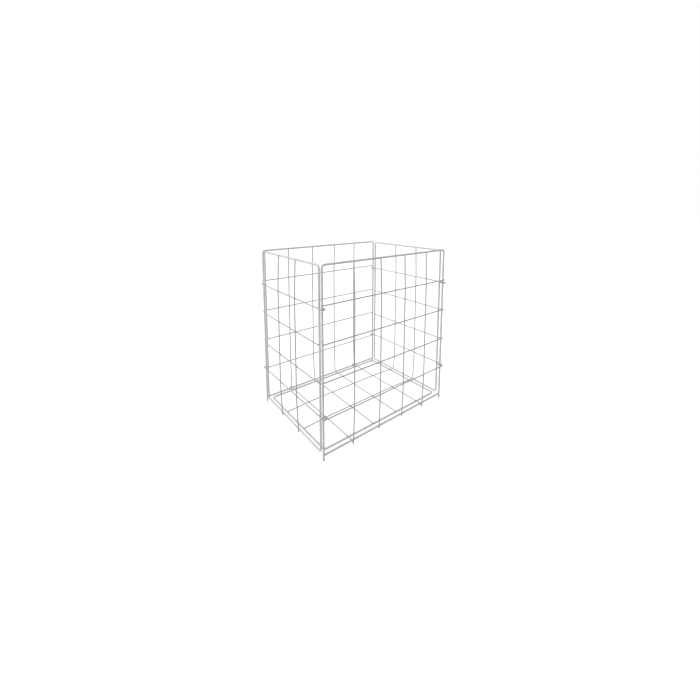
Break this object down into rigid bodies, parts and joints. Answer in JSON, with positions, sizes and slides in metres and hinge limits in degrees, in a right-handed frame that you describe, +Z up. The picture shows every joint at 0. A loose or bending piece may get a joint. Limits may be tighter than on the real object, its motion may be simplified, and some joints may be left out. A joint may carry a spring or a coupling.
{
  "type": "collapsible wire mesh container",
  "caption": "Open-topped container of white coated steel wire: welded mesh walls hooked together at the corner posts and a hinged mesh floor, so that it folds flat.",
  "frame": {"origin": "middle of the overall outline, on the ground under the posts' ends", "axes": "+Z up, +X along the long front wall to the right as seen from the front, +Y from the front wall to the back wall"},
  "size_m": [0.4182, 0.3126, 0.4355],
  "materials": {
    "coated_border_wire": "white plastic-coated steel wire, satin",
    "coated_mesh_wire": "white plastic-coated steel wire, satin"
  },
  "bodies": {
    "back_wall": {"back_frame": "coated_border_wire", "back_bottom_wire": "coated_border_wire", "back_row_1": "coated_mesh_wire", "back_row_2": "coated_mesh_wire", "back_row_3": "coated_mesh_wire", "back_row_4": "coated_mesh_wire", "back_column_1": "coated_mesh_wire", "back_column_2": "coated_mesh_wire", "back_column_3": "coated_mesh_wire", "back_column_4": "coated_mesh_wire"},
    "front_wall": {"front_frame": "coated_border_wire", "front_bottom_wire": "coated_border_wire", "front_row_1": "coated_mesh_wire", "front_row_2": "coated_mesh_wire", "front_row_3": "coated_mesh_wire", "front_row_4": "coated_mesh_wire", "front_column_1": "coated_mesh_wire", "front_column_2": "coated_mesh_wire", "front_column_3": "coated_mesh_wire", "front_column_4": "coated_mesh_wire"},
    "left_wall": {"left_frame": "coated_border_wire", "left_hook_row_1": "coated_mesh_wire", "left_hook_row_2": "coated_mesh_wire", "left_row_1": "coated_mesh_wire", "left_row_2": "coated_mesh_wire", "left_column_1": "coated_mesh_wire", "left_column_2": "coated_mesh_wire"},
    "right_wall": {"right_frame": "coated_border_wire", "right_hook_row_1": "coated_mesh_wire", "right_hook_row_2": "coated_mesh_wire", "right_row_1": "coated_mesh_wire", "right_row_2": "coated_mesh_wire", "right_column_1": "coated_mesh_wire", "right_column_2": "coated_mesh_wire"},
    "floor_panel": {"floor_frame": "coated_border_wire", "floor_cross_wire_1": "coated_mesh_wire", "floor_cross_wire_2": "coated_mesh_wire", "floor_cross_wire_3": "coated_mesh_wire", "floor_cross_wire_4": "coated_mesh_wire", "floor_long_wire_1": "coated_mesh_wire", "floor_long_wire_2": "coated_mesh_wire"}
  },
  "joints": [
    {"name": "floor_hinge", "type": "hinge", "parent": "back_wall", "child": "floor_panel", "pos_m": [0, 0.14702, 0.013], "axis": [-1, 0, 0], "range_deg": [0, 87]},
    {"name": "left_wall_hinge", "type": "hinge", "parent": "back_wall", "child": "left_wall", "pos_m": [-0.2, 0.14702, 0.2], "axis": [0, 0, 1], "range_deg": [-0.2, 1.1]},
    {"name": "right_wall_hinge", "type": "hinge", "parent": "back_wall", "child": "right_wall", "pos_m": [0.2, 0.14702, 0.2], "axis": [0, 0, 1], "range_deg": [-0.2, 1.1]},
    {"name": "front_wall_hinge", "type": "hinge", "parent": "left_wall", "child": "front_wall", "pos_m": [-0.2, -0.14298, 0.2], "axis": [0, 0, 1], "range_deg": [-1.1, 0.2]}
  ],
  "couplings": [
    {"joint": "right_wall_hinge", "follows": "left_wall_hinge", "ratio": 1},
    {"joint": "front_wall_hinge", "follows": "left_wall_hinge", "ratio": -1}
  ]
}
